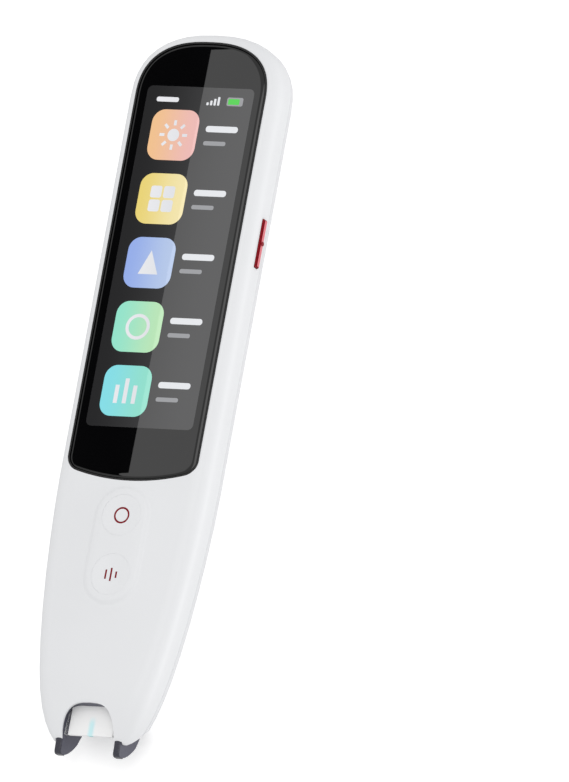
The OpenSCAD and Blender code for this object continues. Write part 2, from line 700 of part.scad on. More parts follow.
module home_key() color(white) difference() {
  round_key(home_x);
  at(home_x, 0, mark_z - mark_h / 2) ring_mark(mark_gap, 1);
}
module home_ring() color(mark_red) at(home_x, 0, mark_z - mark_h / 2) ring_mark(0, mark_h);
module voice_key() color(white) difference() {
  round_key(voice_x);
  at(voice_x, 0, mark_z - mark_h / 2) bar_marks(mark_gap, 1);
}
module voice_mark() color(mark_red) at(voice_x, 0, mark_z - mark_h / 2) bar_marks(0, mark_h);
module power_key() color(key_red) {
  low = power_x - power_len / 2;
  high = power_x + power_len / 2;
  face_y = -half_w - power_out;
  block([low, face_y + power_chamfer, power_z], [high, power_flange_y, power_head_z]);
  block([low + power_chamfer, face_y, power_z + power_chamfer],
    [high - power_chamfer, face_y + power_chamfer, power_head_z - power_chamfer]);
  at(power_x, face_y - power_pip_h, power_z + power_h / 2) rotate([-90, 0, 0])
    cylinder(h = power_pip_h + eps, r = power_pip_r, $fn = 24);
  block([low - power_flange, power_flange_y, power_z],
    [high + power_flange, power_flange_y + power_flange_t, power_flange_z]);
  block([power_x - plunger_w / 2, power_flange_y + power_flange_t, plunger_z],
    [power_x + plunger_w / 2, power_switch_y - power_travel - fit_gap, power_flange_z]);
}

// Foot
window_z = body_t - window_depth - window_t;
window_gap = 0.02;
module foot_frame() color(slate) difference() {
  union() {
    intersection() {
      union() {
        at(0, 0, 0) linear_extrude(window_z - window_gap) polygon(foot_outline(foot_square));
        // from the window's seat to the front
        at(0, 0, window_z - window_gap - eps) linear_extrude(window_depth + window_t)
          polygon(foot_outline(window_square));
      }
      seen_from_side() polygon(foot_side());
    }
    pair([lug_low, lug_root, lug_z0], [lug_high, lug_half, lug_z1]);
    // arm that presses the tip switch
    block([foot_roof - 2, foot_inner + 0.1, board_top + 0.2],
      [board_low - 0.5 - foot_travel - fit_gap, 6.9, board_top + 1.2]);
  }
  at(foot_roof - 1, 0, lens_z) rotate([0, 90, 0]) cylinder(h = crown_t + 2, r = lens_hole_r, $fn = 40);
  for (y = [-led_y, led_y])
    at(foot_roof - 2, y, lens_z) rotate([0, 90, 0]) cylinder(h = crown_t + 3, r = led_hole_r, $fn = 24);
}
aim_t = 0.3;
module window_body(gap) {
  at(0, 0, window_z) linear_extrude(window_t) intersection() {
    polygon(arch(foot_inner - gap, foot_roof - gap, window_square));
    translate([window_low, -far]) square([far, 2 * far]);
  }
}
module scan_window() color([0.9, 0.95, 0.96, 0.5]) difference() {
  window_body(window_gap);
  block([window_low - 1, -aim_w / 2 - mark_gap, window_z - 1],
    [window_low + aim_len + mark_gap, aim_w / 2 + mark_gap, window_z + aim_t + mark_gap]);
}
module aiming_mark() color(teal)
  block([window_low, -aim_w / 2, window_z], [window_low + aim_len, aim_w / 2, window_z + aim_t]);
spring_turns = 5;
spring_rings = 12 * spring_turns;
spring_sides = 6;
module coil(length) {
  points = [for (k = [0 : spring_rings], s = [0 : spring_sides - 1]) let (
      turn = 360 * spring_turns * k / spring_rings,
      side = 360 * s / spring_sides,
      r = spring_r + wire_r * cos(side))
    [wire_r + (length - 2 * wire_r) * k / spring_rings + wire_r * sin(side), r * cos(turn), r * sin(turn)]];
  polyhedron(points, concat(
    [[for (s = [0 : spring_sides - 1]) s]],
    [[for (s = [spring_sides - 1 : -1 : 0]) spring_rings * spring_sides + s]],
    [for (k = [0 : spring_rings - 1], s = [0 : spring_sides - 1])
      let (a = k * spring_sides, t = (s + 1) % spring_sides)
      [a + s, a + spring_sides + s, a + spring_sides + t, a + t]]), convexity = 6);
}
module foot_springs() color(steel) for (y = [-spring_y, spring_y])
  at(lug_high + 0.03, y, spring_z) coil(spring_x - lug_high - 0.06);

front_shell();
rear_shell();
display_glass();
glass_adhesive();
lcd_panel();
lcd_tray();
lcd_flex();
main_board();
board_screws();
shield_can();
processor();
memory_chip();
radio_module();
antenna();
battery();
battery_pad();
battery_tab();
speaker();
speaker_gasket();
speaker_mesh();
microphones();
usb_port();
usb_tongue();
key_switches();
power_switch();
tip_switch();
scan_camera();
camera_lens();
camera_bracket();
camera_flex();
light_board();
scan_leds();
home_key();
home_ring();
voice_key();
voice_mark();
power_key();
foot_frame();
scan_window();
aiming_mark();
foot_springs();
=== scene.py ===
"""Looks of a scan-and-translate pen: materials, lit screen, stage, lights and camera.

In the frame, X runs from the tip to the top end, Y towards the side without the power key and Z out
of the front face, in metres. Sizes here are in millimetres unless a comment says metres, and a
station is a distance from the tip.
"""

import math

import bmesh
import bpy
from mathutils import Matrix, Vector


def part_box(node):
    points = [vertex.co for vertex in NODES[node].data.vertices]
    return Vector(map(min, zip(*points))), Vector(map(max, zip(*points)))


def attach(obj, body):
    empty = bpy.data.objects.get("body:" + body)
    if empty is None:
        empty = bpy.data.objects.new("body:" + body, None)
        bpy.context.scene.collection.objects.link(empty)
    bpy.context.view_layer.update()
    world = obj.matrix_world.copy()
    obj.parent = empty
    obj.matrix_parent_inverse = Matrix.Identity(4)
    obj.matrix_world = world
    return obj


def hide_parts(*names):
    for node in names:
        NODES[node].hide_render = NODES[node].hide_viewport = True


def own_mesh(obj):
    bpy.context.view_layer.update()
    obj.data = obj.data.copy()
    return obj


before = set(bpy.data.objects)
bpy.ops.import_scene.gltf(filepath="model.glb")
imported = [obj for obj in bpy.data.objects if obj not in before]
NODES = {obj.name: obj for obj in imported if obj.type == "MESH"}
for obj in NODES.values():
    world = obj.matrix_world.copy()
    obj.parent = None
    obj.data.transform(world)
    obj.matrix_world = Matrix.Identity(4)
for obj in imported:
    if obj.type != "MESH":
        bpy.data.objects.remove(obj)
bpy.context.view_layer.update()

MM = 0.001
LOW, HIGH = 0, 1
ALONG, ACROSS, UPWARD = 0, 1, 2


def side_of(node, end, axis):
    """Where a node's box starts or ends along an axis of the frame, in millimetres."""
    return round(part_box(node)[end][axis] / MM, 2)


# The casing's half length and half breadth, and the height of the glass's front
HALF_LEN = side_of("front_shell", HIGH, ALONG)
HALF_W = side_of("front_shell", HIGH, ACROSS)
FACE_Z = side_of("display_glass", HIGH, UPWARD)


def place(station, y, z):
    """Point of the frame, in metres, for a station and two offsets in millimetres."""
    return Vector(((station - HALF_LEN) * MM, y * MM, z * MM))


def linear(red, green, blue):
    """Linear colour of a screen colour given as three numbers from 0 to 255."""

    def channel(value):
        share = value / 255
        if share <= 0.04045:
            return share / 12.92
        return ((share + 0.055) / 1.055) ** 2.4

    return (channel(red), channel(green), channel(blue), 1.0)


# --------------------------------------------------------------------------------------------
# Materials
# --------------------------------------------------------------------------------------------

CASING_WHITE = linear(230, 231, 233)
SLATE = linear(80, 80, 94)
SIDE_RED = linear(136, 3, 20)
MARK_RED = linear(132, 0, 20)
GLASS_BLACK = linear(7, 7, 8)
AIM_TEAL = linear(96, 196, 192)


def darker(colour, share):
    """The colour with its light lowered by a share."""
    return tuple(c * (1 - share) for c in colour[:3]) + (1.0,)


def lighter(colour, share):
    """The colour with its light raised by a share."""
    return tuple(min(1.0, c * (1 + share)) for c in colour[:3]) + (1.0,)


def new_material(name):
    """Node material with one plain shader: the material, its nodes, its links and that shader."""
    material = bpy.data.materials.new(name)
    material.use_nodes = True
    nodes, links = material.node_tree.nodes, material.node_tree.links
    return material, nodes, links, nodes["Principled BSDF"]


# Layers of finer noise in the soft clouds and in the grain
CLOUD_DETAIL, GRAIN_DETAIL = 2.0, 3.0


def object_noise(nodes, links, scale, detail=CLOUD_DETAIL):
    """Noise over the piece's own coordinates, with scale in waves a metre."""
    coords = nodes.new("ShaderNodeTexCoord")
    noise = nodes.new("ShaderNodeTexNoise")
    noise.inputs["Scale"].default_value = scale
    noise.inputs["Detail"].default_value = detail
    links.new(coords.outputs["Object"], noise.inputs["Vector"])
    return noise.outputs["Fac"]


# Middle range of a noise, which holds nearly all of its values
NOISE_LOW, NOISE_HIGH = 0.3, 0.7


def spread(nodes, links, source, low, high):
    """Maps a noise's middle range onto low..high."""
    span = nodes.new("ShaderNodeMapRange")
    span.inputs["From Min"].default_value = NOISE_LOW
    span.inputs["From Max"].default_value = NOISE_HIGH
    span.inputs["To Min"].default_value = low
    span.inputs["To Max"].default_value = high
    links.new(source, span.inputs["Value"])
    return span.outputs["Result"]


def two_tones(nodes, links, source, first, second):
    """Blend of two close colours by a noise."""
    ramp = nodes.new("ShaderNodeValToRGB")
    ramp.color_ramp.elements[0].position = NOISE_LOW
    ramp.color_ramp.elements[0].color = first
    ramp.color_ramp.elements[1].position = NOISE_HIGH
    ramp.color_ramp.elements[1].color = second
    links.new(source, ramp.inputs["Fac"])
    return ramp.outputs["Color"]


def add_bump(nodes, links, shader, source, strength, height_mm):
    """Relief on a surface from a noise or a pattern."""
    bump = nodes.new("ShaderNodeBump")
    bump.inputs["Strength"].default_value = strength
    bump.inputs["Distance"].default_value = height_mm * MM
    links.new(source, bump.inputs["Height"])
    links.new(bump.outputs["Normal"], shader.inputs["Normal"])


def surface(name, colour, tone, rough, cloud, grain, height_mm, metallic=0.0, strength=0.4,
            gloss=0.5):
    """Moulded or sheet surface: soft clouds of tone, uneven gloss and a fine grain.

    tone is the share by which the colour varies, rough the lowest and highest roughness, cloud and
    grain are waves a metre, height_mm is the grain's height, strength its weight, and gloss the
    mirror-like share.
    """
    material, nodes, links, shader = new_material(name)
    clouds = object_noise(nodes, links, cloud)
    fine = object_noise(nodes, links, grain, GRAIN_DETAIL)
    colours = two_tones(nodes, links, clouds, darker(colour, tone), lighter(colour, tone))
    links.new(colours, shader.inputs["Base Color"])
    links.new(spread(nodes, links, fine, rough[0], rough[1]), shader.inputs["Roughness"])
    shader.inputs["Metallic"].default_value = metallic
    shader.inputs["Specular IOR Level"].default_value = gloss
    add_bump(nodes, links, shader, fine, strength, height_mm)
    return material


def across(nodes, links, axis, first_mm, last_mm, mirrored=False):
    """0 to 1 along an axis of the piece between two places in millimetres."""
    coords = nodes.new("ShaderNodeTexCoord")
    split = nodes.new("ShaderNodeSeparateXYZ")
    links.new(coords.outputs["Object"], split.inputs["Vector"])
    source = split.outputs[axis]
    if mirrored:
        size = nodes.new("ShaderNodeMath")
        size.operation = "ABSOLUTE"
        links.new(source, size.inputs[0])
        source = size.outputs[0]
    span = nodes.new("ShaderNodeMapRange")
    span.interpolation_type = "SMOOTHSTEP"
    span.inputs["From Min"].default_value = first_mm * MM
    span.inputs["From Max"].default_value = last_mm * MM
    links.new(source, span.inputs["Value"])
    return span.outputs["Result"]


GLASS_ROUGH = 0.004
GLASS_CLOUD = 90
GLASS_TONE = 0.1
SCREEN_GLOW = 0.04
# Offsets across the pen between which a tile, and the screen's ground, shade over
TILE_SHADE = (-1.0, 10.0)
GROUND_SHADE = (-11.0, 12.0)


def screen_paint(name, first, second, shade=TILE_SHADE):
    """Lit part of the picture under the glass: a gradient across it, with the glass's gloss."""
    material, nodes, links, shader = new_material(name)
    ramp = nodes.new("ShaderNodeValToRGB")
    ramp.color_ramp.elements[0].color = first
    ramp.color_ramp.elements[1].color = second
    links.new(across(nodes, links, "Y", *shade), ramp.inputs["Fac"])
    links.new(ramp.outputs["Color"], shader.inputs["Base Color"])
    links.new(ramp.outputs["Color"], shader.inputs["Emission Color"])
    shader.inputs["Emission Strength"].default_value = SCREEN_GLOW
    shader.inputs["Roughness"].default_value = GLASS_ROUGH
    return material


def cover_glass():
    """Black cover glass with a trace of haze."""
    material, nodes, links, shader = new_material("cover_glass")
    clouds = object_noise(nodes, links, GLASS_CLOUD)
    colours = two_tones(nodes, links, clouds, darker(GLASS_BLACK, GLASS_TONE),
                        lighter(GLASS_BLACK, GLASS_TONE))
    links.new(colours, shader.inputs["Base Color"])
    links.new(spread(nodes, links, clouds, GLASS_ROUGH / 2, GLASS_ROUGH * 2),
              shader.inputs["Roughness"])
    return material


def product(nodes, links, first, second):
    """One value times another."""
    times = nodes.new("ShaderNodeMath")
    times.operation = "MULTIPLY"
    links.new(first, times.inputs[0])
    links.new(second, times.inputs[1])
    return times.outputs[0]


def mapped(nodes, links, source, at_zero, at_one):
    """Value that follows a share from 0 to 1."""
    span = nodes.new("ShaderNodeMapRange")
    span.inputs["To Min"].default_value = at_zero
    span.inputs["To Max"].default_value = at_one
    links.new(source, span.inputs["Value"])
    return span.outputs["Result"]


# Offsets from the middle between which the window turns milky and the streak fades in, and the
# stations between which it fades in from its upper end
MILK_EDGE = (5.0, 4.9)
STREAK_EDGE = (0.95, 0.15)
STREAK_END = (8.2, 6.2)
MILK_WHITE = linear(238, 238, 238)
STREAK_TEAL = linear(200, 234, 238)
# Painted glow, clearness and roughness of the window where it is clear and where it is milky;
# the glow is painted light that lifts the milky part out of the shade under the arch
WINDOW_PAINTED_GLOW = (0.0, 0.12)
WINDOW_CLEAR = (1.0, 0.1)
WINDOW_ROUGH = (0.05, 0.45)
WINDOW_IOR = 1.45


def window_glass():
    """Window in the foot: a milky light guide, clear along the legs.

    The aiming line behind it shows through as a soft pale streak.
    """
    material, nodes, links, shader = new_material("window_glass")
    milk = across(nodes, links, "Y", *MILK_EDGE, mirrored=True)
    streak_from, streak_to = (station - HALF_LEN for station in STREAK_END)
    line = product(nodes, links, across(nodes, links, "Y", *STREAK_EDGE, mirrored=True),
                   across(nodes, links, "X", streak_from, streak_to))
    ramp = nodes.new("ShaderNodeValToRGB")
    ramp.color_ramp.elements[0].color = MILK_WHITE
    ramp.color_ramp.elements[1].color = STREAK_TEAL
    links.new(line, ramp.inputs["Fac"])
    links.new(ramp.outputs["Color"], shader.inputs["Base Color"])
    links.new(ramp.outputs["Color"], shader.inputs["Emission Color"])
    # Painted light: the milky part glows a little against the shade under the arch
    links.new(mapped(nodes, links, milk, *WINDOW_PAINTED_GLOW), shader.inputs["Emission Strength"])
    links.new(mapped(nodes, links, milk, *WINDOW_CLEAR), shader.inputs["Transmission Weight"])
    links.new(mapped(nodes, links, milk, *WINDOW_ROUGH), shader.inputs["Roughness"])
    shader.inputs["IOR"].default_value = WINDOW_IOR
    return material


# Linear greens of the solder mask, and of the tracks that stand up under it
MASK_GREENS = ((0.012, 0.11, 0.055, 1), (0.016, 0.13, 0.065, 1))
TRACK_GREEN = (0.03, 0.2, 0.1, 1)
TRACKS_A_METRE, TRACK_WIDTH, TRACK_HEIGHT, TRACK_RELIEF = 320, 0.04, 0.02, 0.3
BOARD_ROUGH = 0.4


def board_green():
    """Circuit board: solder mask with the trace pattern showing through."""
    material, nodes, links, shader = new_material("board_green")
    coords = nodes.new("ShaderNodeTexCoord")
    tracks = nodes.new("ShaderNodeTexBrick")
    tracks.inputs["Scale"].default_value = TRACKS_A_METRE
    tracks.inputs["Mortar Size"].default_value = TRACK_WIDTH
    tracks.inputs["Color1"].default_value = MASK_GREENS[0]
    tracks.inputs["Color2"].default_value = MASK_GREENS[1]
    tracks.inputs["Mortar"].default_value = TRACK_GREEN
    links.new(coords.outputs["Object"], tracks.inputs["Vector"])
    links.new(tracks.outputs["Color"], shader.inputs["Base Color"])
    shader.inputs["Roughness"].default_value = BOARD_ROUGH
    add_bump(nodes, links, shader, tracks.outputs["Fac"], TRACK_RELIEF, TRACK_HEIGHT)
    return material


# Each slot's colour, tone, roughness, clouds, grain, height of the grain and, on metals, metallic share
SLOT_MATERIALS = {
    "casing": surface("casing_white", CASING_WHITE, 0.006, (0.4, 0.48), 70, 5200, 0.004),
    "glass": cover_glass(),
    "screen": surface("panel_back", linear(30, 34, 40), 0.05, (0.2, 0.3), 120, 2500, 0.002),
    "slate": surface("slate_plastic", SLATE, 0.02, (0.42, 0.52), 160, 5200, 0.006),
    "mark_red": surface("mark_red", MARK_RED, 0.02, (0.38, 0.46), 300, 5200, 0.003, gloss=0.15),
    "key_red": surface("key_red", SIDE_RED, 0.02, (0.32, 0.42), 200, 5200, 0.003, gloss=0.2),
    "window": window_glass(),
    "teal": surface("aiming_teal", AIM_TEAL, 0.03, (0.4, 0.5), 300, 5200, 0.002),
    "board": board_green(),
    "chip": surface("chip_black", linear(34, 34, 37), 0.05, (0.45, 0.6), 200, 4200, 0.01),
    "steel": surface("tin_steel", linear(190, 192, 196), 0.04, (0.25, 0.36), 150, 3600, 0.004, 1.0),
    "foil": surface("cell_foil", linear(170, 174, 182), 0.05, (0.3, 0.45), 80, 1400, 0.03, 0.8),
    "flex": surface("flex_amber", linear(214, 150, 60), 0.05, (0.3, 0.4), 200, 3000, 0.004),
    "foam": surface("foam_grey", linear(78, 78, 80), 0.1, (0.8, 0.95), 300, 2600, 0.08),
    "brass": surface("mic_brass", linear(196, 170, 110), 0.05, (0.25, 0.4), 200, 3600, 0.004, 1.0),
    "lens": surface("lens_coat", linear(20, 26, 44), 0.2, (0.03, 0.06), 400, 3000, 0.001),
    "led": surface("led_yellow", linear(246, 240, 190), 0.03, (0.3, 0.4), 400, 3000, 0.004),
    "ceramic": surface("ceramic_ivory", linear(232, 226, 206), 0.03, (0.45, 0.6), 200, 3600, 0.006),
}

# Surfaces of the parts that are dressed on the frame
GASKET_BLACK = surface("gasket_black", linear(12, 12, 13), 0.1, (0.35, 0.5), 300, 3600, 0.002)
# Painted sheen: paler pink that stands in for the light on the power key's side face
KEY_PAINTED_SHEEN = surface("key_painted_sheen", linear(222, 112, 122), 0.02, (0.28, 0.36), 200, 5200, 0.003)
# Painted shade: darker slate that stands in for the shade on the toes' front faces
TOE_PAINTED_SHADE = surface("toe_painted_shade", linear(50, 50, 61), 0.03, (0.2, 0.3), 160, 5200, 0.004)


def slot_of(node):
    """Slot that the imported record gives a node, from the name of its imported material."""
    return node.data.materials[0].name.split(".")[0]


# --------------------------------------------------------------------------------------------
# Smooth shading of the frame's nodes
# --------------------------------------------------------------------------------------------

SHARP_ANGLE = math.radians(32)
WELD = 0.002 * MM


def smoothing_tree():
    """Joins a node's split corners and shades it smooth up to a sharp angle."""
    tree = bpy.data.node_groups.new("soft_shading", "GeometryNodeTree")
    tree.interface.new_socket("Geometry", in_out="INPUT", socket_type="NodeSocketGeometry")
    tree.interface.new_socket("Geometry", in_out="OUTPUT", socket_type="NodeSocketGeometry")
    nodes, links = tree.nodes, tree.links
    start = nodes.new("NodeGroupInput")
    end = nodes.new("NodeGroupOutput")
    weld = nodes.new("GeometryNodeMergeByDistance")
    weld.inputs["Distance"].default_value = WELD
    soft = nodes.new("GeometryNodeSetShadeSmooth")
    crease = nodes.new("GeometryNodeSetShadeSmooth")
    crease.domain = "EDGE"
    crease.inputs["Shade Smooth"].default_value = False
    angle = nodes.new("GeometryNodeInputMeshEdgeAngle")
    above = nodes.new("FunctionNodeCompare")
    above.data_type = "FLOAT"
    above.operation = "GREATER_THAN"
    above.inputs["B"].default_value = SHARP_ANGLE
    links.new(start.outputs[0], weld.inputs["Geometry"])
    links.new(weld.outputs["Geometry"], soft.inputs["Geometry"])
    links.new(soft.outputs["Geometry"], crease.inputs["Geometry"])
    links.new(angle.outputs["Unsigned Angle"], above.inputs["A"])
    links.new(above.outputs["Result"], crease.inputs["Selection"])
    links.new(crease.outputs["Geometry"], end.inputs[0])
    return tree


SOFT_TREE = smoothing_tree()
for cad_node in NODES.values():
    finish = SLOT_MATERIALS[slot_of(cad_node)]
    cad_node.data.materials[0] = finish
    shading = cad_node.modifiers.new("soft_shading", "NODES")
    shading.node_group = SOFT_TREE

# --------------------------------------------------------------------------------------------
# Small dressed parts: cover glass, gasket, key rims, painted sheen on the power key, toe strips with
# painted shade, and springs
# --------------------------------------------------------------------------------------------

# Rounding of the casing's top end, which the glass follows at a border of its own
DOME_LEN, DOME_SQUARE = 14.0, 2.5
DOME_X = 2 * HALF_LEN - DOME_LEN
GLASS_BORDER, GLASS_BOW_R, GLASS_CORNER_R = 2.6, 46.0, 3.0
GLASS_LOW = side_of("display_glass", LOW, ALONG) + HALF_LEN
# Rings of the glass from its back to its front: inset and height below the front face
GLASS_EDGE = [(0.0, 1.1), (0.0, 0.5), (0.04, 0.36), (0.12, 0.25), (0.26, 0.15), (0.46, 0.08),
              (0.72, 0.03), (1.0, 0.005), (1.2, 0.0), (1.3, 0.0)]
# Points round half of the outline, steps in the casing's dome and in each curve at the lower edge,
# and how far past the corner the straight side starts
GLASS_POINTS = 320
DOME_STEPS, CORNER_STEPS = 160, 60
CORNER_GAP = 0.2


def casing_side(inset, start):
    """Casing's outline on the +Y side, straight from a station and round to the top end's middle."""
    points = [(start, HALF_W - inset)]
    for i in range(DOME_STEPS + 1):
        angle = math.pi / 2 * i / DOME_STEPS
        points.append((DOME_X + (DOME_LEN - inset) * math.sin(angle) ** (2 / DOME_SQUARE),
                       (HALF_W - inset) * max(0.0, math.cos(angle)) ** (2 / DOME_SQUARE)))
    return points


def glass_half(inset):
    """Glass outline on the +Y side: bowed lower edge, round corner, then the casing's side."""
    border = GLASS_BORDER + inset
    radius = GLASS_CORNER_R - inset
    bow = GLASS_BOW_R - inset
    y = HALF_W - border - radius
    x = GLASS_LOW + inset + bow - math.sqrt((bow - radius) ** 2 - y ** 2)
    start = math.pi - math.asin(y / (bow - radius))
    points = []
    for i in range(CORNER_STEPS):
        angle = math.pi - (math.pi - start) * i / CORNER_STEPS
        points.append((GLASS_LOW + inset + bow * (1 + math.cos(angle)), bow * math.sin(angle)))
    for i in range(CORNER_STEPS + 1):
        angle = start + (math.pi / 2 - start) * i / CORNER_STEPS
        points.append((x + radius * math.cos(angle), y + radius * math.sin(angle)))
    return points + casing_side(border, x + radius + CORNER_GAP)


def evenly(points, count):
    """The same line with count points at equal distances along it."""
    lengths = [0.0]
    for a, b in zip(points, points[1:]):
        lengths.append(lengths[-1] + math.dist(a, b))
    line, k = [], 0
    for i in range(count):
        target = lengths[-1] * i / (count - 1)
        while k < len(points) - 2 and lengths[k + 1] < target:
            k += 1
        share = (target - lengths[k]) / (lengths[k + 1] - lengths[k])
        line.append(tuple(a + (b - a) * share for a, b in zip(points[k], points[k + 1])))
    return line


def glass_ring(inset):
    """Whole outline of the glass at an inset."""
    half = evenly(glass_half(inset), GLASS_POINTS)
    return half + [(x, -y) for x, y in half[-2:0:-1]]


def circle(x, y, radius, steps):
    """Outline of a disc."""
    return [(x + radius * math.cos(2 * math.pi * i / steps),
             y + radius * math.sin(2 * math.pi * i / steps)) for i in range(steps)]


def closed_piece(name, rings, material, body, capped):
    """Piece through rings of points: capped at its ends, or its last ring joined to its first."""
    count = len(rings[0])
    levels = len(rings)
    points = [p for ring in rings for p in ring]
    faces = []
    for level in range(levels - 1 if capped else levels):
        low, high = level * count, (level + 1) % levels * count
        for i in range(count):
            j = (i + 1) % count
            faces.append((low + i, low + j, high + j, high + i))
    if capped:
        faces.append(tuple(range(count - 1, -1, -1)))
        faces.append(tuple(range((levels - 1) * count, levels * count)))
    mesh = bpy.data.meshes.new(name)
    mesh.from_pydata(points, [], faces)
    mesh.materials.append(material)
    work = bmesh.new()
    work.from_mesh(mesh)
    bmesh.ops.recalc_face_normals(work, faces=work.faces)
    work.to_mesh(mesh)
    work.free()
    piece = bpy.data.objects.new(name, mesh)
    bpy.context.scene.collection.objects.link(piece)
    piece.modifiers.new("soft_shading", "NODES").node_group = SOFT_TREE
    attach(piece, body)
    return piece


def loft(name, rings, material, body):
    """Solid piece through rings, with flat ends."""
    return closed_piece(name, rings, material, body, True)


def frame_piece(name, rings, material, body):
    """Piece that runs round an opening."""
    return closed_piece(name, rings, material, body, False)


glass = loft("cover_glass",
             [[place(x, y, FACE_Z - depth) for x, y in reversed(glass_ring(inset))]
              for inset, depth in GLASS_EDGE],
             SLOT_MATERIALS["glass"], "housing")
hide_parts("display_glass")

# Black gasket round the glass, a hair proud of the casing
GASKET_OUT, GASKET_IN = 0.32, 0.06
GASKET_LOW_Z, GASKET_HIGH_Z = FACE_Z - 0.4, FACE_Z + 0.008
outer, inner = glass_ring(-GASKET_OUT), glass_ring(GASKET_IN)
gasket_rings = [[place(x, y, z) for x, y in line]
                for line, z in ((outer, GASKET_LOW_Z), (outer, GASKET_HIGH_Z),
                                (inner, GASKET_HIGH_Z), (inner, GASKET_LOW_Z))]
frame_piece("glass_gasket", gasket_rings, GASKET_BLACK, "housing")

# Skirt that nearly fills the groove round each key. KEY_R is the radius of a key's top.
KEY_R = 4.15
RIM_IN_R, RIM_OUT_R = KEY_R - 0.05, KEY_R + 0.13
RIM_LOW_Z, RIM_HIGH_Z = FACE_Z - 1.0, FACE_Z + 0.48
RIM_STEPS = 96
for key_name in ("home_key", "voice_key"):
    key_middle = (side_of(key_name, LOW, ALONG) + side_of(key_name, HIGH, ALONG)) / 2 + HALF_LEN
    rim_rings = [[place(x, y, z) for x, y in circle(key_middle, 0, radius, RIM_STEPS)]
                 for radius, z in ((RIM_IN_R, RIM_LOW_Z), (RIM_OUT_R, RIM_LOW_Z),
                                   (RIM_OUT_R, RIM_HIGH_Z), (RIM_IN_R, RIM_HIGH_Z))]
    frame_piece(f"{key_name}_rim", rim_rings, SLOT_MATERIALS["casing"], key_name)

# Paler pink slab on the power key's side face: painted sheen, a lit copy of the key's red that stands
# in for the light on that face.
# The key's box also holds its flange, at both ends and on top, and the pip that stands on its front.
KEY_FLANGE, KEY_FLANGE_RISE, KEY_PIP = 1.0, 0.7, 0.2
KEY_MARGIN, KEY_PROUD = 0.24, 0.03
key_low, key_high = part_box("power_key")
face_x = [key_low[0] / MM + HALF_LEN + KEY_FLANGE + KEY_MARGIN,
          key_high[0] / MM + HALF_LEN - KEY_FLANGE - KEY_MARGIN]
face_y = key_low[1] / MM + KEY_PIP
face_z = [key_low[2] / MM + KEY_MARGIN, key_high[2] / MM - KEY_FLANGE_RISE - KEY_MARGIN]
face_corners = ((LOW, LOW), (HIGH, LOW), (HIGH, HIGH), (LOW, HIGH))
face_rings = [[place(face_x[a], face_y + proud, face_z[b]) for a, b in face_corners]
              for proud in (KEY_PROUD, -KEY_PROUD)]
loft("power_key_painted_sheen", face_rings, KEY_PAINTED_SHEEN, "power_key")

# Glossier, darker front of each toe of the foot: a strip with a round back along the leg's front, whose
# darker slate is painted shade on the front-facing faces
TOE_INNER, TOE_OUTER = 5.86, 7.24
# Height of the strip's round back, its exponent, and the distance over which it thins out at the tip
TOE_BULGE, TOE_ROUND, TOE_THINNING = 0.22, 0.7, 1.2
# How far the strip's edge stands off the leg, and how far its flat side sinks into it
TOE_SKIN, TOE_SINK = 0.02, 0.1
# Curves of the leg's front and of the toe as stations and heights: start, pull and end
LEG_CURVE = ((10.4, 12.1), (7.7, 11.9), (3.0, 10.0))
TOE_CURVE = ((0.9, 9.9), (0.02, 9.9), (0.02, 9.0))
TOE_END = [(0.03, 8.6), (0.08, 8.0)]
# Share of the leg's curve at which the strip starts, under the casing
STRIP_START = 0.7
PATH_STEPS, RING_STEPS = 10, 8


def quadratic(a, b, c, share):
    """Point on a curve that runs from a to c and is pulled towards b."""
    return tuple(p * (1 - share) ** 2 + 2 * q * share * (1 - share) + r * share ** 2
                 for p, q, r in zip(a, b, c))


def toe_path():
    """Front of a leg as seen from the side, from under the casing down round the toe."""
    shares = [i / PATH_STEPS for i in range(PATH_STEPS + 1)]
    front = [quadratic(*LEG_CURVE, STRIP_START + (1 - STRIP_START) * share) for share in shares]
    return front + [quadratic(*TOE_CURVE, share) for share in shares] + TOE_END


def toe_ring(path, index, side_y):
    """Section of the strip: flat against the leg, round in front, thinner towards the tip."""
    station, z = path[index]
    before, after = path[max(index - 1, 0)], path[min(index + 1, len(path) - 1)]
    along = Vector((after[0] - before[0], after[1] - before[1])).normalized()
    out = Vector((along.y, -along.x))
    reach = TOE_BULGE * min(1.0, max(0.0, station - TOE_SKIN) / TOE_THINNING)
    ring = []
    for i in range(RING_STEPS + 1):
        turn = math.pi * i / RING_STEPS
        y = (TOE_INNER + TOE_OUTER) / 2 + (TOE_OUTER - TOE_INNER) / 2 * math.cos(turn)
        rise = reach * math.sin(turn) ** TOE_ROUND + TOE_SKIN
        ring.append(place(station + out.x * rise, side_y * y, z + out.y * rise))
    for y in (TOE_INNER, TOE_OUTER):
        ring.append(place(station - out.x * TOE_SINK, side_y * y, z - out.y * TOE_SINK))
    return ring


leg_path = toe_path()
for toe_name, side_y in (("toe_strip_left", 1), ("toe_strip_right", -1)):
    toe_rings = [toe_ring(leg_path, i, side_y) for i in range(len(leg_path))]
    loft(toe_name, toe_rings, TOE_PAINTED_SHADE, "scan_foot")

# The foot's springs, which shorten when the foot is pressed, as a copy of their own fixed to the
# housing;
# the imported springs are hidden
springs = bpy.data.objects.new("pressed_springs", NODES["foot_springs"].data.copy())
bpy.context.scene.collection.objects.link(springs)
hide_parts("foot_springs")
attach(springs, "housing")
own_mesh(springs)

# --------------------------------------------------------------------------------------------
# Lit screen: thin flush slabs over the glass, in a layout and with motifs of their own
# --------------------------------------------------------------------------------------------

SCREEN_LOW, SCREEN_HIGH, SCREEN_HALF, SCREEN_R = 66.9, 138.2, 12.0, 1.2
# Thickness of a slab, and its steps round a corner
SLAB = 0.01
BOX_STEPS = 8
# Levels of the picture: the ground, what lies on it, and what lies on that
GROUND, FIRST, SECOND = 1, 2, 3


